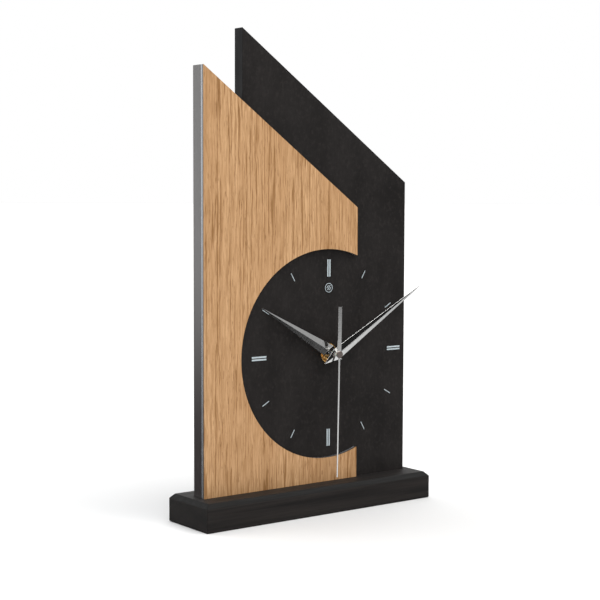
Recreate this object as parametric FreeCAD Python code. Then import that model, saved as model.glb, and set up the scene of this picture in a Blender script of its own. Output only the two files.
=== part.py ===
import FreeCAD, Part
import math
import os

# Mantel clock: black board with a slanted, stepped top, standing in a groove of a wooden
# base. An aluminium sheet and an oak-faced panel with a round cut-out lie on its left
# front, and a battery movement hangs on its back. X is the width, -Y the front, +Z up.
# The origin is the middle of the base's underside. All sizes are in mm.

# base
BASE_WIDTH = 204.8
BASE_DEPTH = 50.0
BASE_HEIGHT = 20.3
BASE_CHAMFER = 3.2
BASE_ROUND = 1.0
GROOVE_DEPTH = 5.0
SCREW_X = 62.0
SCREW_R = 1.95
SCREW_HEAD_R = 4.0
SCREW_TOP = 38.0

# clock board
HEIGHT = 350.0
BOARD_FRONT = -4.0
BOARD_BACK = 6.0
BOARD_LEFT = -93.4
BOARD_RIGHT = 93.6
STEP_X = -58.4
LEFT_TOP = 322.3
RIGHT_TOP = 242.9
EDGE_ROUND = 0.35

# front panel: aluminium sheet, dark core and oak veneer
SHEET_THICK = 2.0
CORE_THICK = 0.9
VENEER_THICK = 0.6
PANEL_RIGHT = 43.8
PANEL_CORNER = 223.8
CUTOUT_X = 15.7
CUTOUT_Z = 115.6
CUTOUT_R = 77.7

# dial
AXIS_X = 19.2
AXIS_Z = 115.7
MARK_THICK = 0.3
MARK_OUT = 69.7
MARK_LONG = 12.7
MARK_SHORT = 6.6
MARK_BAR = 1.15
MARK_GAP = 0.7
MARK_THIN = 0.55
EMBLEM_UP = 48.7
EMBLEM_R = 3.5

# hands
HOUR_ANGLE = 299.4
HOUR_TIP = 74.6
HOUR_TAIL = 9.8
HOUR_HALF = 5.2
HOUR_BACK = -9.9
MINUTE_ANGLE = 59.6
MINUTE_TIP = 95.0
MINUTE_TAIL = 13.3
MINUTE_HALF = 4.6
MINUTE_BACK = -13.7
HAND_EDGE = 0.3
HAND_RIDGE = 1.0
SECOND_ANGLE = 181.0
SECOND_TIP = 91.3
SECOND_BACK = -16.9
SECOND_THICK = 0.4
SECOND_TAIL = 35.3
SECOND_BAR = 3.4
NEEDLE_ROOT = 1.6
NEEDLE_END = 1.1
CAP_R = 2.7

# movement case
CASE_HALF = 28.0
CASE_LOW = -29.2
CASE_TOP = 27.0
CASE_WALL = 1.2
CASE_FRONT = 7.0
CASE_SPLIT = 15.0
CASE_BACK = 23.0
CASE_FLOOR = 1.0
CASE_LID = 1.2
DIVIDER_TOP = -12.0
DIVIDER_LOW = -12.9
PLATE_BACK = 16.0

# hand shafts, one inside the other
BUSH_R = 3.9
BUSH_BORE = 2.55
BUSH_FRONT = -8.6
THREAD_PITCH = 0.75
HOUR_PIPE_R = 2.5
HOUR_PIPE_BORE = 1.83
MINUTE_TUBE_R = 1.75
MINUTE_TUBE_BORE = 0.58
SECOND_ARBOR_R = 0.5
NUT_FLATS = 12.0
NUT_HEIGHT = 2.6
WASHER_R = 7.3
WASHER_THICK = 0.6

# battery, size AA
CELL_R = 7.25
CELL_Y = 15.55
CELL_Z = -20.45
CELL_LENGTH = 50.5
NUB_R = 2.75
NUB_LENGTH = 1.1
SLEEVE = 0.25

# gear train: (teeth, module) of each mesh, seen from the hands back to the motor
HOUR_GEAR = (48, 0.4)
MOTION_PINION = (12, 0.4)
MOTION_GEAR = (36, 0.5)
CANNON_PINION = (12, 0.5)
KNOB_PINION = (12, 0.5)
MINUTE_GEAR = (80, 0.28)
THIRD_PINION = (10, 0.28)
THIRD_GEAR = (75, 0.29647)
SECOND_PINION = (10, 0.29647)
SECOND_GEAR = (60, 0.34)
MIDDLE_PINION = (10, 0.34)
MIDDLE_GEAR = (50, 0.3)
ROTOR_PINION = (10, 0.3)
PRESSURE = math.radians(20)
TOOTH_SHARE = 0.86


def apart(a, b):
    """Centre distance of two meshing gears."""
    return (a[0] * a[1] + b[0] * b[1]) / 2


def step(centre, distance, degrees):
    """The point at a distance and direction from a centre in the dial plane."""
    a = math.radians(degrees)
    return (centre[0] + distance * math.cos(a), centre[1] + distance * math.sin(a))


CENTRE = (0.0, 0.0)
MOTION_DIR = 135.0
KNOB_DIR = 110.0
THIRD_DIR = 0.0
MIDDLE_DIR = 60.0
ROTOR_DIR = 20.0
MOTION_AT = step(CENTRE, apart(CANNON_PINION, MOTION_GEAR), MOTION_DIR)
KNOB_AT = step(MOTION_AT, apart(MOTION_GEAR, KNOB_PINION), KNOB_DIR)
THIRD_AT = step(CENTRE, apart(THIRD_PINION, MINUTE_GEAR), THIRD_DIR)
MIDDLE_AT = step(CENTRE, apart(MIDDLE_PINION, SECOND_GEAR), MIDDLE_DIR)
ROTOR_AT = step(MIDDLE_AT, apart(MIDDLE_GEAR, ROTOR_PINION), ROTOR_DIR)


def v(x, y, z):
    return FreeCAD.Vector(x, y, z)


def block(x0, x1, y0, y1, z0, z1):
    return Part.makeBox(x1 - x0, y1 - y0, z1 - z0, v(x0, y0, z0))


def prism(points, y0, y1):
    """A polygon in the dial plane, given as (x, z) points, made solid from y0 to y1."""
    corners = [v(x, y0, z) for x, z in points]
    face = Part.Face(Part.makePolygon(corners + corners[:1]))
    return face.extrude(v(0, y1 - y0, 0))


def rod(r, y0, y1, at=CENTRE):
    return Part.makeCylinder(r, y1 - y0, v(at[0], y0, at[1]), v(0, 1, 0))


def tube(r, bore, y0, y1, at=CENTRE):
    return rod(r, y0, y1, at).cut(rod(bore, y0 - 1, y1 + 1, at))


def fused(shapes):
    whole = shapes[0].multiFuse(shapes[1:])
    return whole.removeSplitter()


def rounded(x0, x1, y0, y1, z0, z1, r):
    """A block whose four edges along Y are rounded."""
    box = block(x0, x1, y0, y1, z0, z1)
    edges = [e for e in box.Edges if abs(e.tangentAt(e.FirstParameter).y) > 0.99]
    return box.makeFillet(r, edges)


def on_dial(shape):
    """Moves a shape made about the hand axis to its place on the board."""
    moved = shape.copy()
    moved.translate(v(AXIS_X, 0, AXIS_Z))
    return moved


def save(name, shape):
    solids = shape.Solids
    assert shape.isValid() and solids and all(s.isClosed() for s in solids), name
    shape.exportStep("parts/" + name + ".step")
    print(name, len(solids), round(shape.Volume, 2))


# ---- wooden stand and boards -------------------------------------------------------


def screw_hole(x):
    y = (BOARD_FRONT + BOARD_BACK) / 2
    drill = Part.makeCylinder(SCREW_R + 0.2, BASE_HEIGHT, v(x, y, -1))
    sink = Part.makeCone(SCREW_HEAD_R + 0.3, SCREW_R + 0.2, 2.4, v(x, y, 1.0))
    mouth = Part.makeCylinder(SCREW_HEAD_R + 0.3, 2.0, v(x, y, -1))
    return drill.fuse(sink).fuse(mouth)


def base():
    w = BASE_WIDTH / 2
    d = BASE_DEPTH / 2
    body = block(-w, w, -d, d, 0, BASE_HEIGHT)
    top = [e for e in body.Edges if e.BoundBox.ZMin > BASE_HEIGHT - 0.01]
    body = body.makeChamfer(BASE_CHAMFER, top)
    low = [e for e in body.Edges if e.BoundBox.ZMax < 0.01]
    body = body.makeFillet(BASE_ROUND, low)
    groove = block(
        BOARD_LEFT - 0.1, BOARD_RIGHT + 0.1, BOARD_FRONT, BOARD_BACK,
        BASE_HEIGHT - GROOVE_DEPTH, BASE_HEIGHT + 1,
    )
    body = body.cut(groove)
    for x in (-SCREW_X, SCREW_X):
        body = body.cut(screw_hole(x))
    return body


def screw(x):
    """A countersunk wood screw with a cross recess, driven up into the board."""
    y = (BOARD_FRONT + BOARD_BACK) / 2
    shank = Part.makeCylinder(SCREW_R, SCREW_TOP - 6.0, v(x, y, 3.0))
    head = Part.makeCone(SCREW_HEAD_R, SCREW_R, 2.4, v(x, y, 1.0))
    point = Part.makeCone(SCREW_R, 0.2, 3.0, v(x, y, SCREW_TOP - 3.0))
    whole = shank.fuse(head).fuse(point)
    slot_a = block(x - 2.2, x + 2.2, y - 0.4, y + 0.4, 0.5, 2.2)
    slot_b = block(x - 0.4, x + 0.4, y - 2.2, y + 2.2, 0.5, 2.2)
    return whole.cut(slot_a).cut(slot_b)


def panel_line(x):
    """Height of the panel's slanted top edge at x."""
    fall = (LEFT_TOP - PANEL_CORNER) / (PANEL_RIGHT - BOARD_LEFT)
    return LEFT_TOP - fall * (x - BOARD_LEFT)


def board():
    low = BASE_HEIGHT - GROOVE_DEPTH
    outline = [
        (BOARD_LEFT, low),
        (BOARD_LEFT, LEFT_TOP),
        (STEP_X, panel_line(STEP_X)),
        (STEP_X, HEIGHT),
        (BOARD_RIGHT, RIGHT_TOP),
        (BOARD_RIGHT, low),
    ]
    body = prism(outline, BOARD_FRONT, BOARD_BACK)
    rims = [
        e for e in body.Edges
        if e.BoundBox.YLength < 0.01 and e.BoundBox.ZMax > low + 0.1
    ]
    body = body.makeFillet(EDGE_ROUND, rims)
    body = body.cut(on_dial(rod(BUSH_R + 0.25, BOARD_FRONT - 1, BOARD_BACK + 1)))
    y = (BOARD_FRONT + BOARD_BACK) / 2
    for x in (-SCREW_X, SCREW_X):
        body = body.cut(Part.makeCylinder(SCREW_R + 0.02, SCREW_TOP - low, v(x, y, low)))
        body = body.cut(Part.makeCone(SCREW_R + 0.02, 0.2, 2.0, v(x, y, SCREW_TOP)))
    return body


def panel_layer(y0, y1):
    outline = [
        (BOARD_LEFT, BASE_HEIGHT),
        (BOARD_LEFT, LEFT_TOP),
        (PANEL_RIGHT, PANEL_CORNER),
        (PANEL_RIGHT, BASE_HEIGHT),
    ]
    hole = rod(CUTOUT_R, y0 - 1, y1 + 1, (CUTOUT_X, CUTOUT_Z))
    return prism(outline, y0, y1).cut(hole)


# ---- dial ---------------------------------------------------------------------------


def bar(r0, r1, width, offset, clock_degrees):
    """A strip on the dial from radius r0 to r1, beside the radius by offset."""
    strip = block(
        offset - width / 2, offset + width / 2,
        BOARD_FRONT - MARK_THICK, BOARD_FRONT, r0, r1,
    )
    strip.rotate(v(0, 0, 0), v(0, 1, 0), clock_degrees)
    return strip


def double_markers():
    strips = []
    side = (MARK_BAR + MARK_GAP) / 2
    for hour in (0, 3, 6, 9):
        for offset in (-side, side):
            strips.append(bar(MARK_OUT - MARK_LONG, MARK_OUT, MARK_BAR, offset, 30 * hour))
    return on_dial(Part.Compound(strips))


def single_markers():
    strips = []
    for hour in (1, 2, 4, 5, 7, 8, 10, 11):
        strips.append(bar(MARK_OUT - MARK_SHORT, MARK_OUT, MARK_THIN, 0, 30 * hour))
    return on_dial(Part.Compound(strips))


def emblem():
    """A plain ornament: a ring with three slanting bars inside."""
    at = (0.0, EMBLEM_UP)
    front = BOARD_FRONT - MARK_THICK
    pieces = [tube(EMBLEM_R, EMBLEM_R - 0.42, front, BOARD_FRONT, at)]
    for shift, half in ((-1.35, 1.2), (0.0, 2.2), (1.35, 1.2)):
        stick = block(shift - 0.26, shift + 0.26, front, BOARD_FRONT, -half, half)
        stick.rotate(v(0, 0, 0), v(0, 1, 0), 35)
        stick.translate(v(at[0], 0, at[1]))
        pieces.append(stick)
    return on_dial(Part.Compound(pieces))


# ---- hands --------------------------------------------------------------------------


def face_of(points):
    return Part.Face(Part.makePolygon(points + points[:1]))


def kite_hand(tip, tail, half, widest, back, edge, ridge, angle):
    """A kite-shaped hand pointing up, flat behind, with four facets that meet at a ridge
    over the hub, turned clockwise to its angle."""
    end = 0.35
    outline = [(0, -tail), (-half, widest), (-end, tip), (end, tip), (half, widest)]
    rear = [v(x, back, z) for x, z in outline]
    rim = [v(x, back - edge, z) for x, z in outline]
    apex = v(0, back - edge - ridge, widest)
    faces = [face_of(rear)]
    for i in range(5):
        j = (i + 1) % 5
        faces.append(face_of([rear[i], rear[j], rim[j], rim[i]]))
        faces.append(face_of([rim[i], rim[j], apex]))
    hand = Part.makeSolid(Part.makeShell(faces))
    if hand.Volume < 0:
        hand.reverse()
    hand.rotate(v(0, 0, 0), v(0, 1, 0), angle)
    return hand


def hour_hand():
    hand = kite_hand(
        HOUR_TIP, HOUR_TAIL, HOUR_HALF, 3.0, HOUR_BACK, HAND_EDGE, HAND_RIDGE, HOUR_ANGLE
    )
    collet = rod(3.5, HOUR_BACK - 0.3, HOUR_BACK + 0.7)
    hand = hand.fuse(collet)
    return on_dial(hand.cut(rod(HOUR_PIPE_R, HOUR_BACK - 5, HOUR_BACK + 5)))


def minute_hand():
    hand = kite_hand(
        MINUTE_TIP, MINUTE_TAIL, MINUTE_HALF, 0.0, MINUTE_BACK, HAND_EDGE, HAND_RIDGE,
        MINUTE_ANGLE,
    )
    collet = rod(2.6, MINUTE_BACK - 0.3, MINUTE_BACK + 1.0)
    hand = hand.fuse(collet)
    return on_dial(hand.cut(rod(MINUTE_TUBE_R, MINUTE_BACK - 5, MINUTE_BACK + 5)))


def second_hand():
    """A flat needle with a straight counterweight bar and a tube that grips its arbor."""
    front = SECOND_BACK - SECOND_THICK
    wide, slim = NEEDLE_ROOT / 2, NEEDLE_END / 2
    needle = prism([(-wide, 0), (-slim, SECOND_TIP), (slim, SECOND_TIP), (wide, 0)],
                   front, SECOND_BACK)
    w = SECOND_BAR / 2
    weight = block(-w, w, front, SECOND_BACK, -SECOND_TAIL, -1.0)
    hub = rod(2.2, front, SECOND_BACK)
    grip = rod(1.0, SECOND_BACK, SECOND_BACK + 1.5)
    whole = fused([needle, weight, hub, grip])
    whole = whole.cut(rod(SECOND_ARBOR_R, front - 1, SECOND_BACK + 5))
    whole.rotate(v(0, 0, 0), v(0, 1, 0), SECOND_ANGLE)
    return on_dial(whole)


def second_cap():
    front = SECOND_BACK - SECOND_THICK
    disc = rod(CAP_R, front - 0.8, front)
    rim = [e for e in disc.Edges if e.BoundBox.YMax < front - 0.5]
    return on_dial(disc.makeFillet(0.25, [e for e in rim if e.Length > 5]))


# ---- parts clamped through the board ----------------------------------------------


def bushing():
    """The brass bush that carries the hand shafts, with thread ridges and a rear flange."""
    flange = tube(6.0, BUSH_BORE, 8.0, 8.4)
    points = [(BUSH_BORE, 8.0), (BUSH_R, 8.0), (BUSH_R, -3.0)]
    y = -3.0
    while y - THREAD_PITCH > BUSH_FRONT + 0.1:
        points.append((BUSH_R - 0.32, y - THREAD_PITCH / 2))
        points.append((BUSH_R, y - THREAD_PITCH))
        y -= THREAD_PITCH
    points.append((BUSH_R - 0.3, BUSH_FRONT))
    points.append((BUSH_BORE, BUSH_FRONT))
    face = face_of([v(r, along, 0) for r, along in points])
    body = face.revolve(v(0, 0, 0), v(0, 1, 0), 360)
    body = Part.Solid(body) if body.ShapeType != "Solid" else body
    return on_dial(body.fuse(flange))


def dial_washer():
    return on_dial(tube(WASHER_R, BUSH_R + 0.05, BOARD_FRONT - WASHER_THICK, BOARD_FRONT))


def dial_nut():
    y1 = BOARD_FRONT - WASHER_THICK
    y0 = y1 - NUT_HEIGHT
    r = NUT_FLATS / 2 / math.cos(math.radians(30))
    corners = [step(CENTRE, r, 60 * i + 22) for i in range(6)]
    hexagon = prism(corners, y0, y1)
    turned = rod(r - 0.1, y0, y1)
    rim = [e for e in turned.Edges if e.BoundBox.YMax < y0 + 0.01]
    turned = turned.makeChamfer(0.55, rim)
    return on_dial(hexagon.common(turned).cut(rod(BUSH_R + 0.05, y0 - 1, y1 + 1)))


def gasket():
    return on_dial(tube(10.0, BUSH_R + 0.3, BOARD_BACK, CASE_FRONT))


# ---- movement case ------------------------------------------------------------------


def case_block(y0, y1, inset, radius):
    return rounded(
        -CASE_HALF + inset, CASE_HALF - inset, y0, y1,
        CASE_LOW + inset, CASE_TOP - inset, radius,
    )


POSTS = ((-24.6, 23.6), (24.6, 23.9), (-24.6, -9.8), (24.6, -9.8))


def case_front():
    inner = CASE_FRONT + CASE_FLOOR
    body = case_block(CASE_FRONT, CASE_SPLIT, 0, 3.0)
    body = body.cut(case_block(inner, CASE_SPLIT + 1, CASE_WALL, 1.8))
    w = CASE_HALF - CASE_WALL + 0.2
    wall = block(-w, w, inner - 0.2, CASE_SPLIT, DIVIDER_LOW, DIVIDER_TOP)
    bosses = [rod(1.5, inner - 0.2, CASE_SPLIT, at) for at in POSTS]
    bosses.append(rod(1.6, inner - 0.2, inner + 0.8, THIRD_AT))
    bosses.append(rod(2.0, inner - 0.2, inner + 1.8, KNOB_AT))
    bosses.append(rod(0.95, inner - 0.2, 11.9, MOTION_AT))
    lugs = []
    for side in (-1, 1):
        x0, x1 = sorted((side * (CASE_HALF - 0.3), side * (CASE_HALF + 0.7)))
        lugs.append(block(x0, x1, 12.0, 13.4, -2.2, 2.2))
    body = fused([body, wall] + bosses + lugs)
    body = body.cut(rod(BUSH_R + 0.02, CASE_FRONT - 1, inner + 0.1))
    body = body.cut(rod(0.46, CASE_FRONT + 0.4, inner + 2, THIRD_AT))
    body = body.cut(rod(0.77, CASE_FRONT + 0.6, inner + 3, KNOB_AT))
    body = body.cut(block(25.2, 26.8, 13.4, 16.0, -13.5, -11.5))
    body = body.cut(block(-26.8, -25.2, 13.4, 16.0, -13.5, -11.5))
    return on_dial(body)


def case_rear():
    inner = CASE_BACK - CASE_LID
    w = CASE_HALF - CASE_WALL
    body = case_block(CASE_SPLIT, CASE_BACK, 0, 3.0)
    body = body.cut(case_block(CASE_SPLIT - 1, inner, CASE_WALL, 1.8))
    floor = CASE_LOW + CASE_WALL
    body = body.cut(block(-w, w, CASE_SPLIT - 1, CASE_BACK + 1, floor, DIVIDER_LOW))
    wall = block(-w - 0.2, w + 0.2, CASE_SPLIT, inner + 0.2, DIVIDER_LOW, DIVIDER_TOP)
    bosses = [
        rod(1.6, 21.2, inner + 0.2, CENTRE),
        rod(1.6, 21.2, inner + 0.2, MIDDLE_AT),
        rod(1.6, 21.5, inner + 0.2, ROTOR_AT),
    ]
    tongues = []
    for side in (-1, 1):
        x0, x1 = sorted((side * (CASE_HALF + 0.05), side * (CASE_HALF + 1.0)))
        tongue = block(x0, x1, 11.0, 17.5, -4.0, 4.0)
        tongue = tongue.cut(block(x0 - 1, x1 + 1, 11.8, 13.6, -2.5, 2.5))
        x0, x1 = sorted((side * (CASE_HALF - 0.3), side * (CASE_HALF + 1.0)))
        root = block(x0, x1, 15.4, 17.5, -4.0, 4.0)
        tongues.append(tongue.fuse(root))
    body = fused([body, wall] + bosses + tongues)
    body = body.cut(rod(6.0, CASE_BACK - 0.6, CASE_BACK + 1, KNOB_AT))
    body = body.cut(rod(1.2, inner - 1, CASE_BACK + 1, KNOB_AT))
    for at in (CENTRE, MIDDLE_AT, ROTOR_AT):
        body = body.cut(rod(0.46, 21.0, 22.5, at))
    body = body.cut(block(25.2, 26.8, 14.0, 18.6, -13.5, -11.5))
    body = body.cut(block(-26.8, -25.2, 14.0, 19.8, -13.5, -11.5))
    marks = [
        block(20.0, 23.0, CASE_BACK - 0.3, CASE_BACK + 1, -10.3, -9.7),
        block(21.2, 21.8, CASE_BACK - 0.3, CASE_BACK + 1, -11.5, -8.5),
        block(-23.0, -20.0, CASE_BACK - 0.3, CASE_BACK + 1, -10.3, -9.7),
    ]
    for mark in marks:
        body = body.cut(mark)
    return on_dial(body)


def middle_plate():
    w = CASE_HALF - CASE_WALL - 0.2
    high = CASE_TOP - CASE_WALL - 0.2
    body = rounded(-w, w, CASE_SPLIT, PLATE_BACK, DIVIDER_TOP + 0.1, high, 1.8)
    body = body.cut(block(18.9, w + 1, CASE_SPLIT - 1, PLATE_BACK + 1, 6.2, 20.2))
    body = body.cut(block(25.0, w + 1, CASE_SPLIT - 1, PLATE_BACK + 1, -12.5, -10.9))
    body = body.cut(block(-w - 1, -25.0, CASE_SPLIT - 1, PLATE_BACK + 1, -12.5, -5.5))
    posts = [rod(1.2, PLATE_BACK - 0.2, 18.4, at) for at in ((-23.0, 10.0), (-15.0, 10.0))]
    body = fused([body] + posts)
    body = body.cut(rod(1.0, 14, 17, CENTRE))
    body = body.cut(rod(1.2, 14, 17, KNOB_AT))
    for at in (THIRD_AT, MIDDLE_AT, ROTOR_AT):
        body = body.cut(rod(0.46, 14, 17, at))
    return on_dial(body)


# ---- gears --------------------------------------------------------------------------


def gear(size, y0, y1, at, phase, tip=1.0):
    """A spur gear with involute flanks of straight facets. Phase is the direction of one
    tooth in degrees, counted from +X to +Z."""
    teeth, module = size
    pitch_r = teeth * module / 2
    base_r = pitch_r * math.cos(PRESSURE)
    tip_r = pitch_r + tip * module
    root_r = pitch_r - 1.25 * module
    half = math.pi / teeth / 2 * TOOTH_SHARE
    at_pitch = math.tan(PRESSURE) - PRESSURE

    def flank(r):
        if r <= base_r:
            return (half + at_pitch) * (0.8 + 0.2 * r / base_r)
        a = math.acos(base_r / r)
        return half + at_pitch - (math.tan(a) - a)

    radii = [root_r, max(base_r, root_r + 0.3 * module), pitch_r, tip_r]
    points = []
    for n in range(teeth):
        middle = math.radians(phase) + 2 * math.pi * n / teeth
        side = [(r, middle - flank(r)) for r in radii]
        side += [(r, middle + flank(r)) for r in reversed(radii)]
        points += [(at[0] + r * math.cos(a), at[1] + r * math.sin(a)) for r, a in side]
    return prism(points, y0, y1)


def mate_phase(a, phase, direction, b):
    """Phase of gear b, which lies in this direction from gear a, so that they mesh."""
    past = (phase - direction) % (360.0 / a[0])
    return direction + 180.0 - past * a[0] / b[0] + 180.0 / b[0]


CANNON_PHASE = MOTION_DIR
MOTION_PHASE = mate_phase(CANNON_PINION, CANNON_PHASE, MOTION_DIR, MOTION_GEAR)
KNOB_PHASE = mate_phase(MOTION_GEAR, MOTION_PHASE, KNOB_DIR, KNOB_PINION)
HOUR_PHASE = mate_phase(MOTION_PINION, MOTION_DIR + 180.0, MOTION_DIR + 180.0, HOUR_GEAR)
MINUTE_PHASE = mate_phase(THIRD_PINION, THIRD_DIR + 180.0, THIRD_DIR + 180.0, MINUTE_GEAR)
THIRD_PHASE = mate_phase(SECOND_PINION, THIRD_DIR, THIRD_DIR, THIRD_GEAR)
SECOND_PHASE = mate_phase(MIDDLE_PINION, MIDDLE_DIR + 180.0, MIDDLE_DIR + 180.0, SECOND_GEAR)
MIDDLE_PHASE = mate_phase(ROTOR_PINION, ROTOR_DIR + 180.0, ROTOR_DIR + 180.0, MIDDLE_GEAR)


def windows(radius, hole, y0, y1, at, count):
    """Lightening holes on a circle in a wheel's web."""
    return [rod(hole, y0 - 1, y1 + 1, step(at, radius, 360.0 * i / count + 20)) for i in range(count)]


def hour_wheel():
    body = fused([
        gear(HOUR_GEAR, 8.7, 9.7, CENTRE, HOUR_PHASE),
        rod(HOUR_PIPE_R, HOUR_BACK - 0.9, 9.7),
    ])
    body = body.cut(rod(HOUR_PIPE_BORE, -20, 20))
    for hole in windows(6.0, 1.7, 8.7, 9.7, CENTRE, 6):
        body = body.cut(hole)
    return on_dial(body)


def minute_wheel():
    body = fused([
        gear(MINUTE_GEAR, 11.9, 12.6, CENTRE, MINUTE_PHASE),
        gear(CANNON_PINION, 10.1, 11.5, CENTRE, CANNON_PHASE),
        rod(2.3, 11.3, 12.0),
        rod(MINUTE_TUBE_R, MINUTE_BACK - 1.2, 12.8),
    ])
    body = body.cut(rod(MINUTE_TUBE_BORE, -20, 20))
    for hole in windows(6.6, 1.9, 11.9, 12.6, CENTRE, 6):
        body = body.cut(hole)
    return on_dial(body)


def second_wheel():
    body = fused([
        gear(SECOND_GEAR, 16.6, 17.3, CENTRE, SECOND_PHASE),
        gear(SECOND_PINION, 13.1, 14.4, CENTRE, THIRD_DIR),
        rod(SECOND_ARBOR_R, SECOND_BACK - SECOND_THICK, 13.3),
        rod(0.9, 14.3, 20.9),
        rod(1.8, 16.3, 17.6),
        rod(0.4, 20.8, 22.3),
    ])
    for hole in windows(6.2, 1.8, 16.6, 17.3, CENTRE, 5):
        body = body.cut(hole)
    return on_dial(body)


def third_wheel():
    body = fused([
        gear(THIRD_GEAR, 13.3, 14.0, THIRD_AT, THIRD_PHASE),
        gear(THIRD_PINION, 11.6, 12.9, THIRD_AT, THIRD_DIR + 180.0),
        rod(0.8, 9.0, 14.6, THIRD_AT),
        rod(1.9, 12.8, 13.4, THIRD_AT),
        rod(0.4, 7.6, 9.1, THIRD_AT),
        rod(0.4, 14.5, 15.8, THIRD_AT),
    ])
    for hole in windows(6.6, 2.0, 13.3, 14.0, THIRD_AT, 5):
        body = body.cut(hole)
    return on_dial(body)


def intermediate_wheel():
    body = fused([
        gear(MIDDLE_GEAR, 20.1, 20.7, MIDDLE_AT, MIDDLE_PHASE),
        gear(MIDDLE_PINION, 16.4, 17.6, MIDDLE_AT, MIDDLE_DIR + 180.0),
        rod(0.9, 17.5, 21.0, MIDDLE_AT),
        rod(0.4, 15.2, 16.5, MIDDLE_AT),
        rod(0.4, 20.9, 22.3, MIDDLE_AT),
    ])
    for hole in windows(4.4, 1.3, 20.1, 20.7, MIDDLE_AT, 4):
        body = body.cut(hole)
    return on_dial(body)


def rotor_pinion():
    return on_dial(fused([
        gear(ROTOR_PINION, 19.7, 21.1, ROTOR_AT, ROTOR_DIR + 180.0),
        rod(1.0, 16.4, 19.8, ROTOR_AT),
        rod(1.6, 16.6, 17.3, ROTOR_AT),
        rod(0.4, 15.2, 16.5, ROTOR_AT),
        rod(0.4, 21.0, 22.3, ROTOR_AT),
    ]))


def rotor_magnet():
    return on_dial(tube(3.0, 1.0, 17.3, 19.3, ROTOR_AT))


def motion_wheel():
    body = fused([
        gear(MOTION_GEAR, 10.2, 11.4, MOTION_AT, MOTION_PHASE),
        gear(MOTION_PINION, 8.6, 10.3, MOTION_AT, MOTION_DIR + 180.0),
    ])
    body = body.cut(rod(1.02, 8, 12, MOTION_AT))
    for hole in windows(5.7, 1.7, 10.2, 11.4, MOTION_AT, 5):
        body = body.cut(hole)
    return on_dial(body)


def setting_knob():
    disc = rod(5.0, 22.8, 24.7, KNOB_AT)
    for i in range(20):
        disc = disc.cut(rod(0.45, 22, 26, step(KNOB_AT, 5.15, 18.0 * i)))
    arrow = tube(3.4, 2.8, 24.4, 25, KNOB_AT)
    disc = disc.cut(arrow)
    return on_dial(fused([
        disc,
        rod(1.1, 11.4, 22.9, KNOB_AT),
        gear(KNOB_PINION, 10.1, 11.5, KNOB_AT, KNOB_PHASE),
        rod(0.7, 8.0, 10.2, KNOB_AT),
    ]))


# ---- stepping motor and electronics ---------------------------------------------------

COIL_X = 22.4
COIL_Y = 17.3
COIL_LOW = 7.0
COIL_TOP = 19.5


def upright(r, z0, z1):
    return Part.makeCylinder(r, z1 - z0, v(COIL_X, COIL_Y, z0))


def stator():
    """The flat iron pole piece: a column with the rotor's hole, and an arm to each end
    of the coil core."""
    column = block(9.8, 19.0, 17.8, 18.8, 3.5, 23.0)
    upper = block(9.8, 23.9, 17.8, 18.8, 20.2, 23.0)
    lower = block(9.8, 23.9, 17.8, 18.8, 3.5, 6.4)
    body = fused([column, upper, lower])
    body = body.cut(rod(3.6, 17, 20, ROTOR_AT))
    for side in (20.0, 200.0):
        body = body.cut(rod(0.5, 17, 20, step(ROTOR_AT, 3.7, side)))
    return on_dial(body)


def coil_core():
    return on_dial(block(COIL_X - 1.5, COIL_X + 1.5, 16.8, 17.8, 3.5, 23.0))


def coil_bobbin():
    body = fused([
        upright(2.0, COIL_LOW, COIL_TOP),
        upright(2.8, COIL_LOW, COIL_LOW + 0.6),
        upright(2.8, COIL_TOP - 0.6, COIL_TOP),
    ])
    slot = block(COIL_X - 1.5, COIL_X + 1.5, 16.8, 17.8, 0, 30)
    return on_dial(body.cut(slot))


def coil_winding():
    body = upright(2.6, COIL_LOW + 0.6, COIL_TOP - 0.6)
    return on_dial(body.cut(upright(2.0, 0, 30)))


def circuit_board():
    body = block(-25.2, -12.5, 18.4, 19.2, -8.0, 12.0)
    return on_dial(body)


def clock_chip():
    body = block(-21.5, -16.5, 19.4, 20.7, 1.0, 6.0)
    pins = []
    for i in range(4):
        z = 1.6 + 1.2 * i
        pins.append(block(-22.6, -15.4, 19.2, 19.5, z, z + 0.5))
    return on_dial(fused([body] + pins))


def quartz_crystal():
    can = Part.makeCylinder(1.0, 6.2, v(-15.2, 20.25, -5.6))
    legs = [
        Part.makeCylinder(0.2, 1.6, v(-15.55, 20.25, 0.5)),
        Part.makeCylinder(0.2, 1.6, v(-14.85, 20.25, 0.5)),
    ]
    return on_dial(fused([can] + legs))


# ---- battery and its contacts ---------------------------------------------------------


def lying(r, x0, x1):
    return Part.makeCylinder(r, x1 - x0, v(x0, CELL_Y, CELL_Z), v(1, 0, 0))


def battery_cell():
    end = CELL_LENGTH / 2
    can = lying(CELL_R - SLEEVE, -end, end - NUB_LENGTH)
    nub = lying(NUB_R, end - NUB_LENGTH - 0.2, end)
    return on_dial(can.fuse(nub))


def battery_sleeve():
    end = CELL_LENGTH / 2
    jacket = lying(CELL_R, -end + 0.3, end - NUB_LENGTH - 0.3)
    return on_dial(jacket.cut(lying(CELL_R - SLEEVE, -end, end)))


def positive_contact():
    plate = block(25.4, 25.8, 9.5, 17.6, -25.0, -13.2)
    riser = block(25.4, 25.8, 14.6, 17.6, -13.3, -11.1)
    strap = block(25.4, 25.8, 17.0, 21.0, -11.5, -11.1)
    rail = block(-18.0, 25.8, 19.6, 21.0, -11.5, -11.1)
    tab = block(-18.0, -16.0, 19.2, 19.6, -11.5, -6.4)
    lap = block(-18.0, -16.0, 19.2, 21.0, -11.5, -11.1)
    return on_dial(fused([plate, riser, strap, rail, tab, lap]))


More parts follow.
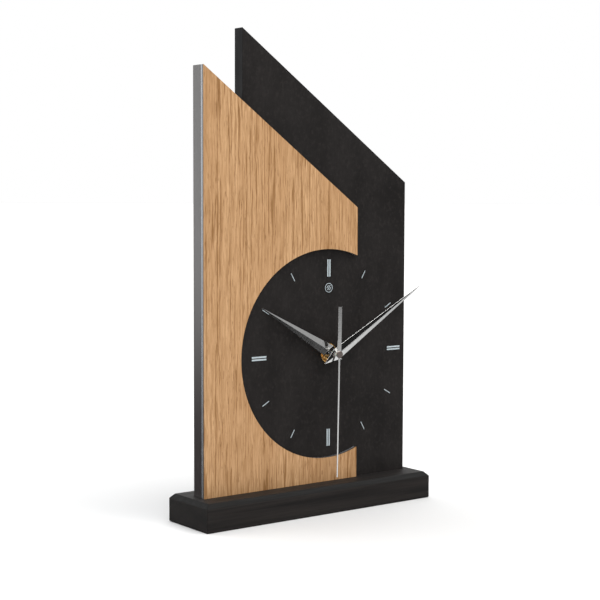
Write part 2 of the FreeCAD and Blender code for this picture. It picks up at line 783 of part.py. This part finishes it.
def negative_contact():
    plate = block(-25.8, -25.4, 9.5, 17.6, -27.0, -13.2)
    riser = block(-25.8, -25.4, 15.4, 19.6, -13.3, -6.0)
    tab = block(-25.8, -23.0, 19.2, 19.6, -7.8, -6.0)
    return on_dial(fused([plate, riser, tab]))


def main():
    os.makedirs("parts", exist_ok=True)
    save("base", base())
    save("base_screws", Part.Compound([screw(-SCREW_X), screw(SCREW_X)]))
    save("clock_board", board())
    y = BOARD_FRONT
    save("aluminium_sheet", panel_layer(y - SHEET_THICK, y))
    y -= SHEET_THICK
    save("panel_core", panel_layer(y - CORE_THICK, y))
    y -= CORE_THICK
    save("oak_veneer", panel_layer(y - VENEER_THICK, y))
    save("double_markers", double_markers())
    save("single_markers", single_markers())
    save("dial_emblem", emblem())
    save("hour_hand", hour_hand())
    save("minute_hand", minute_hand())
    save("second_hand", second_hand())
    save("second_cap", second_cap())
    save("threaded_bushing", bushing())
    save("dial_washer", dial_washer())
    save("dial_nut", dial_nut())
    save("rubber_gasket", gasket())
    save("case_front", case_front())
    save("case_rear", case_rear())
    save("middle_plate", middle_plate())
    save("hour_wheel", hour_wheel())
    save("minute_wheel", minute_wheel())
    save("second_wheel", second_wheel())
    save("third_wheel", third_wheel())
    save("intermediate_wheel", intermediate_wheel())
    save("motion_wheel", motion_wheel())
    save("rotor_pinion", rotor_pinion())
    save("rotor_magnet", rotor_magnet())
    save("setting_knob", setting_knob())
    save("stator", stator())
    save("coil_core", coil_core())
    save("coil_bobbin", coil_bobbin())
    save("coil_winding", coil_winding())
    save("circuit_board", circuit_board())
    save("clock_chip", clock_chip())
    save("quartz_crystal", quartz_crystal())
    save("battery_cell", battery_cell())
    save("battery_sleeve", battery_sleeve())
    save("positive_contact", positive_contact())
    save("negative_contact", negative_contact())


main()
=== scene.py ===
"""Looks for the mantel clock: camera, studio, a material for each CAD node, and soft edges on some of them."""

import math

import bmesh
import bpy
from mathutils import Matrix, Vector


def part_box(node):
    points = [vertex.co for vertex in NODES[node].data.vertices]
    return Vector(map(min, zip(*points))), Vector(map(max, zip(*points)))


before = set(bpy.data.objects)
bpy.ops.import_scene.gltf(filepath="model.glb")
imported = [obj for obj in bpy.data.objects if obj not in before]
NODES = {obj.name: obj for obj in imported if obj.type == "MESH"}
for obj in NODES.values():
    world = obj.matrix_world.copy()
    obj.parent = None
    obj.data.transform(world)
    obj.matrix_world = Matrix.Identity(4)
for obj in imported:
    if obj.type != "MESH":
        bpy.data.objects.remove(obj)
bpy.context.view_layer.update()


# ---------------------------------------------------------------- camera and studio


# the camera's place in metres, its angles in degrees, and its lens in millimetres
CAMERA_PLACE = (-0.633787, -0.833796, 0.233699)
CAMERA_HEADING = -37.048
CAMERA_BELOW_LEVEL = 4.2525
CAMERA_ROLL = 0.1699
CAMERA_LENS = 85.55
CAMERA_SENSOR = 36.0
CAMERA_NEAR, CAMERA_FAR = 0.05, 60.0
FLOOR_RADIUS = 30.0


def add_camera():
    """A long lens to the left of the clock and a little above its middle, tipped slightly down."""
    data = bpy.data.cameras.new("camera")
    data.lens = CAMERA_LENS
    data.sensor_width = CAMERA_SENSOR
    data.clip_start = CAMERA_NEAR
    data.clip_end = CAMERA_FAR
    camera = bpy.data.objects.new("camera", data)
    bpy.context.scene.collection.objects.link(camera)
    heading = Matrix.Rotation(math.radians(CAMERA_HEADING), 4, "Z")
    tilt = Matrix.Rotation(math.radians(90.0 - CAMERA_BELOW_LEVEL), 4, "X")
    roll = Matrix.Rotation(math.radians(CAMERA_ROLL), 4, "Z")
    place = Matrix.Translation(CAMERA_PLACE)
    camera.matrix_world = place @ heading @ tilt @ roll
    bpy.context.scene.camera = camera


def direction(azimuth, elevation):
    """A unit vector; azimuth counts from +X towards +Y, both in degrees."""
    a, e = math.radians(azimuth), math.radians(elevation)
    return Vector((math.cos(e) * math.cos(a), math.cos(e) * math.sin(a), math.sin(e)))


def add_sun(name, azimuth, elevation, spread, strength, color=(1.0, 1.0, 1.0), mirrored=True):
    """A distant soft light; spread is its width in degrees, and mirrored says whether gloss shows it."""
    data = bpy.data.lights.new(name, "SUN")
    data.energy = strength
    data.angle = math.radians(spread)
    data.color = color
    lamp = bpy.data.objects.new(name, data)
    lamp.visible_glossy = mirrored
    bpy.context.scene.collection.objects.link(lamp)
    lamp.rotation_euler = direction(azimuth, elevation).to_track_quat("Z", "Y").to_euler()


# soft round patches of light that gloss mirrors: azimuth, elevation, inner and outer radius, strength;
# the first four are in degrees
PATCHES = (
    (127.0, 20.0, 23.4, 29.4, 1.78),
    (-45.0, -17.5, 8.5, 16.1, 0.85),
    (-38.0, 13.0, 3.0, 12.0, 0.42),
    (55.0, 26.0, 24.0, 40.0, 1.0),
    (-132.0, -50.0, 10.0, 30.0, 0.8),
    (-112.0, 6.0, 12.0, 32.0, 0.8),
    (0.0, 90.0, 20.0, 60.0, 0.2),
)
# strength of the dim light from everywhere else
ROOM = 0.014


def add_world():
    """A dim room with soft patches of light for what the gloss shows, and white behind for the camera."""
    world = bpy.data.worlds.new("studio")
    bpy.context.scene.world = world
    world.use_nodes = True
    nodes, links = world.node_tree.nodes, world.node_tree.links
    nodes.clear()
    where = nodes.new("ShaderNodeTexCoord").outputs["Generated"]
    total = nodes.new("ShaderNodeValue").outputs[0]
    total.default_value = ROOM
    for azimuth, elevation, inner, outer, strength in PATCHES:
        towards = nodes.new("ShaderNodeVectorMath")
        towards.operation = "DOT_PRODUCT"
        towards.inputs[1].default_value = direction(azimuth, elevation)
        links.new(where, towards.inputs[0])
        edge = nodes.new("ShaderNodeMapRange")
        edge.interpolation_type = "SMOOTHSTEP"
        edge.inputs["From Min"].default_value = math.cos(math.radians(outer))
        edge.inputs["From Max"].default_value = math.cos(math.radians(inner))
        edge.inputs["To Max"].default_value = strength
        links.new(towards.outputs["Value"], edge.inputs["Value"])
        add = nodes.new("ShaderNodeMath")
        add.operation = "ADD"
        links.new(total, add.inputs[0])
        links.new(edge.outputs["Result"], add.inputs[1])
        total = add.outputs["Value"]
    light = nodes.new("ShaderNodeBackground")
    links.new(total, light.inputs["Strength"])
    light.inputs["Color"].default_value = (1.0, 1.0, 1.0, 1.0)
    white = nodes.new("ShaderNodeBackground")
    white.inputs["Color"].default_value = (1.0, 1.0, 1.0, 1.0)
    rays = nodes.new("ShaderNodeLightPath")
    mix = nodes.new("ShaderNodeMixShader")
    links.new(rays.outputs["Is Camera Ray"], mix.inputs["Fac"])
    links.new(light.outputs["Background"], mix.inputs[1])
    links.new(white.outputs["Background"], mix.inputs[2])
    output = nodes.new("ShaderNodeOutputWorld")
    links.new(mix.outputs["Shader"], output.inputs["Surface"])


def add_floor(material):
    """A wide round floor whose top is the plane that the clock stands on."""
    mesh = bpy.data.meshes.new("floor")
    made = bmesh.new()
    bmesh.ops.create_circle(made, cap_ends=True, radius=FLOOR_RADIUS, segments=96)
    made.to_mesh(mesh)
    made.free()
    mesh.materials.append(material)
    floor = bpy.data.objects.new("floor", mesh)
    bpy.context.scene.collection.objects.link(floor)
    floor.visible_glossy = False


# ---------------------------------------------------------------- material helpers


class Finish:
    """A material on the Principled shader, with short ways to add texture nodes to it."""

    def __init__(self, name, **sockets):
        self.material = bpy.data.materials.new(name)
        self.material.use_nodes = True
        self.tree = self.material.node_tree
        self.surface = self.tree.nodes["Principled BSDF"]
        for socket, value in sockets.items():
            self.surface.inputs[socket.replace("_", " ")].default_value = value

    def node(self, kind, inputs=(), **settings):
        made = self.tree.nodes.new(kind)
        for key, value in settings.items():
            setattr(made, key, value)
        for key, value in dict(inputs).items():
            if isinstance(value, bpy.types.NodeSocket):
                self.tree.links.new(value, made.inputs[key])
            else:
                made.inputs[key].default_value = value
        return made

    def place(self, scale=(1, 1, 1), turn=(0, 0, 0), shift=(0, 0, 0), warp=None):
        """Object coordinates in metres, or the warp given for them, turned, shifted and then stretched."""
        where = warp or self.node("ShaderNodeTexCoord").outputs["Object"]
        turned = self.node(
            "ShaderNodeMapping",
            {"Vector": where, "Rotation": [math.radians(a) for a in turn], "Location": shift},
        )
        return self.node(
            "ShaderNodeMapping", {"Vector": turned.outputs["Vector"], "Scale": scale}
        ).outputs["Vector"]

    def warped(self, scale, amount, detail=2.0, warp=None):
        """Object coordinates, or warp, pushed about by a slow noise; amount is in metres for each axis."""
        where = warp or self.node("ShaderNodeTexCoord").outputs["Object"]
        push = self.node(
            "ShaderNodeTexNoise", {"Vector": self.place(scale), "Scale": 1.0, "Detail": detail}
        ).outputs["Color"]
        middle = self.node(
            "ShaderNodeVectorMath", {0: push, 1: (0.5, 0.5, 0.5)}, operation="SUBTRACT"
        ).outputs["Vector"]
        sized = self.node(
            "ShaderNodeVectorMath", {0: middle, 1: amount}, operation="MULTIPLY"
        ).outputs["Vector"]
        return self.node(
            "ShaderNodeVectorMath", {0: where, 1: sized}, operation="ADD"
        ).outputs["Vector"]

    def noise(self, where, scale=1.0, detail=2.0, roughness=0.5):
        return self.node(
            "ShaderNodeTexNoise",
            {"Vector": where, "Scale": scale, "Detail": detail, "Roughness": roughness},
        ).outputs["Fac"]

    def span(self, value, low, high, to_low=0.0, to_high=1.0):
        """Maps low..high smoothly to to_low..to_high, clamped."""
        return self.node(
            "ShaderNodeMapRange",
            {"Value": value, "From Min": low, "From Max": high, "To Min": to_low, "To Max": to_high},
            interpolation_type="SMOOTHSTEP",
        ).outputs["Result"]

    def thread(self, value, middle, width):
        """Thin lines where value crosses middle: 1 along the crossing, 0 from width away."""
        off = self.node("ShaderNodeMath", {0: value, 1: middle}, operation="SUBTRACT").outputs[0]
        gap = self.node("ShaderNodeMath", {0: off}, operation="ABSOLUTE").outputs[0]
        return self.span(gap, width, 0.0)

    def sum(self, *terms):
        total = terms[0]
        for term in terms[1:]:
            total = self.node("ShaderNodeMath", {0: total, 1: term}, operation="ADD").outputs[0]
        return total

    def times(self, a, b):
        return self.node("ShaderNodeMath", {0: a, 1: b}, operation="MULTIPLY").outputs[0]

    def blend(self, factor, a, b):
        """Colour a turning to colour b as the factor socket goes from 0 to 1."""
        mix = self.tree.nodes.new("ShaderNodeMix")
        mix.data_type = "RGBA"
        factor_in, a_in, b_in = mix.inputs[0], mix.inputs[6], mix.inputs[7]
        self.tree.links.new(factor, factor_in)
        for value, socket in ((a, a_in), (b, b_in)):
            if isinstance(value, bpy.types.NodeSocket):
                self.tree.links.new(value, socket)
            else:
                socket.default_value = (*value, 1.0)
        return mix.outputs[2]

    def color(self, socket):
        self.tree.links.new(socket, self.surface.inputs["Base Color"])

    def rough(self, socket):
        self.tree.links.new(socket, self.surface.inputs["Roughness"])

    def bump(self, height, distance, strength=1.0):
        made = self.node(
            "ShaderNodeBump", {"Height": height, "Distance": distance, "Strength": strength}
        ).outputs["Normal"]
        self.tree.links.new(made, self.surface.inputs["Normal"])


def moulded(name, dark, light, grain, relief, rough, **sockets):
    """Moulded plastic or rubber: fine spark-eroded grain, faint cloudy tone, wiped patches in the gloss."""
    f = Finish(name, **sockets)
    cloud = f.noise(f.place(), 90.0, 3.0, 0.6)
    f.color(f.blend(cloud, dark, light))
    grains = f.noise(f.place(), grain, 2.0, 0.6)
    patches = f.noise(f.place(shift=(0.2, 0.1, 0.4)), 45.0, 4.0, 0.65)
    f.rough(f.span(f.sum(f.times(grains, 0.3), f.times(patches, 0.7)), 0.3, 0.7, *rough))
    f.bump(grains, relief)
    return f.material


# drawing lines on metal: how many to a metre across them, and how deep in metres
LINES = 9000.0
LINE_DEPTH = 0.000004


def drawn_metal(name, dark, light, rough, along=(1, 1, 1), metallic=1.0):
    """Metal with fine parallel drawing lines; along is small on the axis that the lines run along."""
    f = Finish(name, Metallic=metallic)
    lines = f.noise(f.place([a * LINES for a in along]), 1.0, 3.0, 0.6)
    cloud = f.noise(f.place(), 70.0, 3.0, 0.6)
    f.color(f.blend(f.sum(f.times(lines, 0.5), f.times(cloud, 0.5)), dark, light))
    f.rough(f.span(f.sum(f.times(lines, 0.6), f.times(cloud, 0.4)), 0.3, 0.7, *rough))
    f.bump(lines, LINE_DEPTH)
    return f.material


# ---------------------------------------------------------------- materials


def oak():
    """Upright oak veneer: pale ground, thin dark growth lines that break up, short open pores, satin oil."""
    f = Finish("oak_veneer_oiled", Specular_IOR_Level=0.3)
    slow = f.warped((22.0, 22.0, 9.0), (0.004, 0.0, 0.0), 2.5)
    path = f.warped((90.0, 90.0, 110.0), (0.0009, 0.0, 0.0), 2.0, slow)
    growth = f.noise(f.place((300.0, 300.0, 3.5), shift=(0.11, 0.0, 0.2), warp=path), 1.0, 1.0, 0.5)
    rows = f.noise(f.place((640.0, 640.0, 9.0), shift=(0.31, 0.0, 0.12), warp=path), 1.0, 2.0, 0.6)
    breaks = f.noise(f.place((500.0, 500.0, 45.0), shift=(0.05, 0.0, 0.4), warp=path), 1.0, 2.0, 0.6)
    pores = f.noise(f.place((1300.0, 1300.0, 130.0), warp=path), 1.0, 2.0, 0.6)
    fibre = f.noise(f.place((1100.0, 1100.0, 60.0), warp=path), 1.0, 3.0, 0.7)
    broad = f.noise(f.place((60.0, 60.0, 3.0)), 1.0, 2.0, 0.5)
    tone = f.blend(f.span(broad, 0.35, 0.65), (0.545, 0.331, 0.169), (0.470, 0.273, 0.132))
    tone = f.blend(f.span(fibre, 0.36, 0.62, 0.0, 0.62), tone, (0.325, 0.170, 0.068))
    broken = f.span(breaks, 0.38, 0.56, 0.25, 1.0)
    main = f.times(f.thread(growth, 0.5, 0.06), broken)
    side = f.times(f.thread(rows, 0.5, 0.07), f.span(breaks, 0.42, 0.6, 0.15, 0.6))
    lines = f.sum(main, side)
    tone = f.blend(f.span(lines, 0.0, 1.1, 0.0, 0.84), tone, (0.220, 0.101, 0.029))
    hole = f.times(f.span(pores, 0.58, 0.68), f.span(breaks, 0.4, 0.6, 0.4, 1.0))
    tone = f.blend(f.times(hole, 0.75), tone, (0.180, 0.078, 0.022))
    f.color(tone)
    f.rough(f.span(f.sum(f.times(fibre, 0.5), f.times(lines, 0.5)), 0.2, 0.7, 0.48, 0.66))
    f.bump(f.sum(f.times(fibre, 0.3), f.times(f.sum(lines, hole), -0.5)), 0.0001, 0.6)
    return f.material


def stained_base():
    """Black-brown stained wood: long level grain, a few darker lines, and painted shade that darkens the
    bevels.
    """
    f = Finish("base_wood_stained", Specular_IOR_Level=0.22)
    path = f.warped((3.0, 14.0, 14.0), (0.0, 0.002, 0.003), 2.0)
    grain = f.noise(f.place((7.0, 260.0, 260.0), warp=path), 1.0, 4.0, 0.6)
    fine = f.noise(f.place((40.0, 1800.0, 1800.0), warp=path), 1.0, 3.0, 0.6)
    lines = f.noise(f.place((5.0, 420.0, 420.0), shift=(0.2, 0.3, 0.1), warp=path), 1.0, 2.0, 0.5)
    tone = f.blend(f.span(grain, 0.3, 0.7), (0.0095, 0.0084, 0.0082), (0.0205, 0.0172, 0.0158))
    tone = f.blend(f.span(fine, 0.35, 0.75, 0.0, 0.4), tone, (0.0085, 0.0075, 0.0072))
    tone = f.blend(f.span(lines, 0.58, 0.72, 0.0, 0.5), tone, (0.0065, 0.0060, 0.0057))
    facing = f.node("ShaderNodeTexCoord").outputs["Normal"]
    up = f.node("ShaderNodeSeparateXYZ", {"Vector": facing}).outputs["Z"]
    # painted shade: faces sloping between level and upright, the bevels, are darkened almost to black
    bevel = f.times(f.span(up, 0.2, 0.5), f.span(up, 0.97, 0.85))
    f.color(f.blend(f.times(bevel, 0.95), tone, (0.0022, 0.0021, 0.0021)))
    f.rough(f.span(f.sum(f.times(grain, 0.5), f.times(fine, 0.5)), 0.3, 0.7, 0.5, 0.68))
    f.bump(f.sum(f.times(fine, 0.5), f.times(grain, 0.5)), 0.00009, 0.6)
    return f.material


def black_board():
    """Satin black lacquer over fibreboard, with a nap and rubbed gloss; faces turned to -X carry painted
    shade, and the long left edge has a real clear coat and a lighter colour that is a painted sheen.
    """
    f = Finish("board_black_lacquer", Specular_IOR_Level=0.2, Coat_Roughness=0.16, Coat_IOR=1.6)
    nap = f.noise(f.place((900.0, 900.0, 260.0)), 1.0, 3.0, 0.6)
    cloud = f.noise(f.place((38.0, 38.0, 20.0)), 1.0, 3.0, 0.6)
    felt = f.noise(f.place(), 2600.0, 2.0, 0.6)
    fleck = f.noise(f.place((420.0, 420.0, 330.0)), 1.0, 3.0, 0.7)
    tone = f.blend(f.span(cloud, 0.3, 0.7), (0.0100, 0.0087, 0.0084), (0.0165, 0.0143, 0.0137))
    tone = f.blend(f.span(nap, 0.35, 0.75, 0.0, 0.45), tone, (0.0078, 0.0066, 0.0064))
    tone = f.blend(f.span(fleck, 0.5, 0.68, 0.0, 0.6), tone, (0.0235, 0.0200, 0.0190))
    spots = f.node("ShaderNodeTexCoord").outputs
    # painted shade: faces turned towards -X are darkened to a near-black blue
    side = f.node("ShaderNodeSeparateXYZ", {"Vector": spots["Normal"]}).outputs["X"]
    tone = f.blend(f.span(side, -0.8, -0.95), tone, (0.0030, 0.0030, 0.0040))
    x = f.node("ShaderNodeSeparateXYZ", {"Vector": spots["Object"]}).outputs["X"]
    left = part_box("clock_board")[0][0]
    # the long left edge: a real clear coat, and a lighter colour that is a painted sheen
    polished_and_painted_sheen = f.span(x, left + 0.0003, left + 0.0001)
    tone = f.blend(polished_and_painted_sheen, tone, (0.027, 0.0205, 0.0198))
    f.color(tone)
    f.rough(f.span(f.sum(f.times(nap, 0.4), f.times(cloud, 0.6)), 0.3, 0.7, 0.46, 0.6))
    f.tree.links.new(polished_and_painted_sheen, f.surface.inputs["Coat Weight"])
    f.bump(f.sum(f.times(nap, 0.6), f.times(felt, 0.4)), 0.00004, 0.6)
    return f.material


def pressed_core():
    """Dark pressed laminate core with polished edges."""
    f = Finish("core_pressed", Specular_IOR_Level=0.3, Coat_Weight=0.8, Coat_Roughness=0.2, Coat_IOR=1.6)
    layers = f.noise(f.place((120.0, 4200.0, 120.0)), 1.0, 3.0, 0.6)
    f.color(f.blend(layers, (0.010, 0.008, 0.007), (0.030, 0.024, 0.020)))
    f.rough(f.span(layers, 0.3, 0.7, 0.5, 0.7))
    f.bump(layers, 0.00002)
    return f.material


def hand_metal(name, degrees, rough=(0.1, 0.12)):
    """Bright aluminium brushed across the hand; degrees is the way the hand points, from twelve o'clock."""
    f = Finish(name, Metallic=1.0, Anisotropic=0.6)
    lines = f.noise(f.place((40.0, 400.0, 1400.0), (0, -degrees, 0)), 1.0, 2.0, 0.6)
    cloud = f.noise(f.place(), 60.0, 3.0, 0.6)
    mixed = f.sum(f.times(lines, 0.6), f.times(cloud, 0.4))
    f.color(f.blend(f.span(mixed, 0.35, 0.65), (0.79, 0.79, 0.785), (0.90, 0.90, 0.89)))
    f.rough(f.span(mixed, 0.35, 0.65, *rough))
    a = math.radians(degrees)
    along = f.node(
        "ShaderNodeVectorTransform",
        {"Vector": (math.sin(a), 0.0, math.cos(a))},
        vector_type="VECTOR",
        convert_from="OBJECT",
        convert_to="WORLD",
    )
    f.tree.links.new(along.outputs["Vector"], f.surface.inputs["Tangent"])
    return f.material


def wound_wire():
    """Fine enamelled copper wire, wound in level turns along the coil."""
    f = Finish("coil_copper_wire", Metallic=1.0, Coat_Weight=0.4)
    turns = f.node(
        "ShaderNodeTexWave",
        {"Vector": f.place(), "Scale": 5200.0, "Distortion": 0.6, "Detail": 1.0},
        wave_type="BANDS",
        bands_direction="Z",
    ).outputs["Fac"]
    tone = f.noise(f.place((60.0, 60.0, 500.0)), 1.0, 2.0)
    mixed = f.sum(f.times(turns, 0.5), f.times(tone, 0.5))
    f.color(f.blend(f.span(mixed, 0.2, 0.8), (0.40, 0.13, 0.05), (0.86, 0.40, 0.19)))
    f.rough(f.span(tone, 0.3, 0.7, 0.22, 0.4))
    f.bump(turns, 0.00004)
    return f.material


def cell_jacket():
    """The battery's shrunk jacket: deep blue with a pale band at its raised end, and faint scuffs."""
    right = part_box("battery_sleeve")[1][0]
    band_edge = right - 0.0135
    line_edge = right - 0.01405
    line_end = right - 0.01495
    f = Finish("battery_jacket", Coat_Weight=0.35, Coat_Roughness=0.12)
    where = f.node("ShaderNodeTexCoord").outputs["Object"]
    x = f.node("ShaderNodeSeparateXYZ", {"Vector": where}).outputs["X"]
    band = f.span(x, band_edge - 0.0001, band_edge + 0.0001)
    rim = f.span(x, line_end - 0.00005, line_end + 0.00005)
    line = f.times(rim, f.span(x, line_edge + 0.00005, line_edge - 0.00005))
    cloud = f.noise(f.place(), 120.0, 3.0, 0.6)
    blue = f.blend(cloud, (0.018, 0.045, 0.13), (0.028, 0.066, 0.18))
    tone = f.blend(band, blue, (0.62, 0.62, 0.60))
    tone = f.blend(line, tone, (0.75, 0.75, 0.73))
    scuffs = f.noise(f.place((400.0, 2600.0, 2600.0)), 1.0, 3.0, 0.7)
    f.color(f.blend(f.span(scuffs, 0.66, 0.8, 0.0, 0.3), tone, (0.5, 0.5, 0.5)))
    f.rough(f.span(scuffs, 0.3, 0.8, 0.24, 0.42))
    f.bump(f.noise(f.place((300.0, 900.0, 900.0)), 1.0, 2.0), 0.00002)
    return f.material


def resin_board():
    """Paper resin circuit board with faint copper tracks under its brown varnish."""
    f = Finish("circuit_resin", Specular_IOR_Level=0.5)
    tracks = f.node(
        "ShaderNodeTexBrick",
        {"Vector": f.place(turn=(90, 0, 0)), "Scale": 420.0, "Mortar Size": 0.045, "Brick Width": 0.9},
    ).outputs["Fac"]
    fibre = f.noise(f.place((900.0, 900.0, 300.0)), 1.0, 3.0)
    tone = f.blend(fibre, (0.20, 0.115, 0.045), (0.33, 0.21, 0.095))
    f.color(f.blend(f.times(tracks, 0.65), tone, (0.55, 0.36, 0.16)))
    f.rough(f.span(fibre, 0.3, 0.7, 0.35, 0.5))
    f.bump(tracks, 0.00003)
    return f.material


def pale_floor():
    f = Finish("floor_pale", Specular_IOR_Level=0.1)
    tone = f.noise(f.place(), 0.7, 2.0)
    f.color(f.blend(tone, (0.745, 0.748, 0.75), (0.76, 0.762, 0.764)))
    f.rough(f.span(tone, 0.3, 0.7, 0.75, 0.85))
    return f.material


def metals():
    """{slot: material} for the drawn, turned and rolled metals."""
    grey, pale = (0.50, 0.50, 0.52), (0.72, 0.72, 0.74)
    return {
        "sheet_aluminium": drawn_metal(
            "aluminium_cut_edge",
            (0.245, 0.255, 0.272),
            (0.305, 0.315, 0.332),
            (0.2, 0.3),
            along=(0.03, 1, 0.03),
            metallic=0.6,
        ),
        "marker_metal": drawn_metal(
            "marker_silver", (0.50, 0.575, 0.61), (0.60, 0.68, 0.715), (0.36, 0.48), metallic=0.4
        ),
        "cap_metal": drawn_metal("cap_satin", (0.34, 0.285, 0.26), (0.44, 0.375, 0.345), (0.24, 0.34)),
        "brass": drawn_metal(
            "brass_turned",
            (0.84, 0.47, 0.14),
            (0.98, 0.64, 0.26),
            (0.18, 0.3),
            along=(0.3, 0.02, 0.3),
            metallic=0.78,
        ),
        "screw_steel": drawn_metal("screw_zinc", grey, pale, (0.28, 0.45), along=(1, 1, 0.1)),
        "motor_iron": drawn_metal(
            "motor_iron_rolled", (0.34, 0.34, 0.35), (0.52, 0.52, 0.53), (0.3, 0.48), along=(1, 1, 0.05)
        ),
        "crystal_can": drawn_metal(
            "crystal_can_bright", (0.66, 0.66, 0.67), (0.84, 0.84, 0.85), (0.14, 0.28), along=(1, 1, 0.03)
        ),
        "cell_steel": drawn_metal(
            "cell_nickel", (0.60, 0.59, 0.57), (0.78, 0.77, 0.75), (0.2, 0.34), along=(0.05, 1, 1)
        ),
        "contact_metal": drawn_metal(
            "contact_nickel", (0.62, 0.60, 0.55), (0.80, 0.78, 0.72), (0.22, 0.36), along=(0.4, 0.4, 0.05)
        ),
    }


def mouldings():
    """{slot: material} for the moulded and pressed plastics and rubber: tones, grain, relief, roughness."""
    return {
        "rubber": moulded(
            "gasket_rubber", (0.010, 0.010, 0.010), (0.022, 0.022, 0.022), 1800.0, 0.00006, (0.6, 0.8)
        ),
        "case_plastic": moulded(
            "case_grained", (0.030, 0.030, 0.032), (0.043, 0.043, 0.046), 2600.0, 0.00004, (0.4, 0.55)
        ),
        "frame_plastic": moulded(
            "frame_moulded", (0.62, 0.61, 0.56), (0.72, 0.71, 0.67), 2600.0, 0.00002, (0.4, 0.55)
        ),
        "gear_plastic": moulded(
            "gear_acetal",
            (0.74, 0.73, 0.68),
            (0.83, 0.82, 0.78),
            1500.0,
            0.00001,
            (0.28, 0.4),
            Subsurface_Weight=0.15,
            Subsurface_Scale=0.0006,
        ),
        "knob_plastic": moulded(
            "knob_moulded", (0.018, 0.018, 0.019), (0.030, 0.030, 0.032), 2000.0, 0.00002, (0.26, 0.38)
        ),
        "magnet": moulded(
            "magnet_ferrite", (0.040, 0.040, 0.043), (0.085, 0.085, 0.090), 2400.0, 0.00003, (0.45, 0.65)
        ),
        "chip_black": moulded(
            "chip_epoxy", (0.010, 0.010, 0.010), (0.020, 0.020, 0.020), 1200.0, 0.00005, (0.25, 0.4)
        ),
    }


def finishes():
    """{slot: material} for every slot of the record."""
    return {
        "oak": oak(),
        "base_wood": stained_base(),
        "black_lacquer": black_board(),
        "core_black": pressed_core(),
        "coil_wire": wound_wire(),
        "cell_sleeve": cell_jacket(),
        "board_resin": resin_board(),
        **metals(),
        **mouldings(),
    }


# the ways that the hands point at rest: degrees from twelve o'clock, clockwise
HOUR_POINTS = 299.4
MINUTE_POINTS = 59.6
SECOND_POINTS = 181.0


def dress_nodes():
    """Gives each CAD node its slot's finish, and each hand brushing that runs across it."""
    by_slot = finishes()
    by_node = {
        "hour_hand": hand_metal("hour_hand_brushed", HOUR_POINTS),
        "minute_hand": hand_metal("minute_hand_brushed", MINUTE_POINTS),
        "second_hand": hand_metal("second_hand_brushed", SECOND_POINTS, (0.11, 0.15)),
    }
    for name, node in NODES.items():
        for i, old in enumerate(node.data.materials):
            slot = old.name.split(".")[0]
            node.data.materials[i] = by_node.get(name) or by_slot[slot]


# corners closer than this many metres are one, and an edge is sharp above this many degrees
WELD_GAP = 0.000002
SHARP_ANGLE = 32.0
# node: width in metres of the soft edge that it gets
SOFT_EDGES = {
    "hour_hand": 0.00016,
    "minute_hand": 0.00014,
    "second_hand": 0.00008,
    "base": 0.0006,
    "dial_nut": 0.0003,
    "dial_washer": 0.00015,
    "case_front": 0.0004,
    "case_rear": 0.0004,
    "setting_knob": 0.0003,
    "double_markers": 0.00008,
    "single_markers": 0.00006,
    "dial_emblem": 0.00006,
}


def soften_edges():
    """Rounds the sharp edges of these nodes, so that they catch the light as real edges do."""
    for name, width in SOFT_EDGES.items():
        node = NODES[name]
        weld = node.modifiers.new("weld", "WELD")
        weld.merge_threshold = WELD_GAP
        bevel = node.modifiers.new("soft_edges", "BEVEL")
        bevel.width = width
        bevel.segments = 2
        bevel.limit_method = "ANGLE"
        bevel.angle_limit = math.radians(SHARP_ANGLE)
        bevel.harden_normals = True


scene = bpy.context.scene
scene.view_settings.view_transform = "Standard"
add_camera()
add_world()
add_sun("top_light", -90.0, 80.0, 80.0, 2.2)
add_sun("key_light", -50.0, 46.0, 42.0, 1.25, (1.0, 0.985, 0.96))
add_sun("front_light", -100.0, 20.0, 70.0, 1.15, mirrored=False)
add_sun("rear_light", 108.0, 34.0, 60.0, 0.9, mirrored=False)
add_floor(pale_floor())
dress_nodes()
soften_edges()
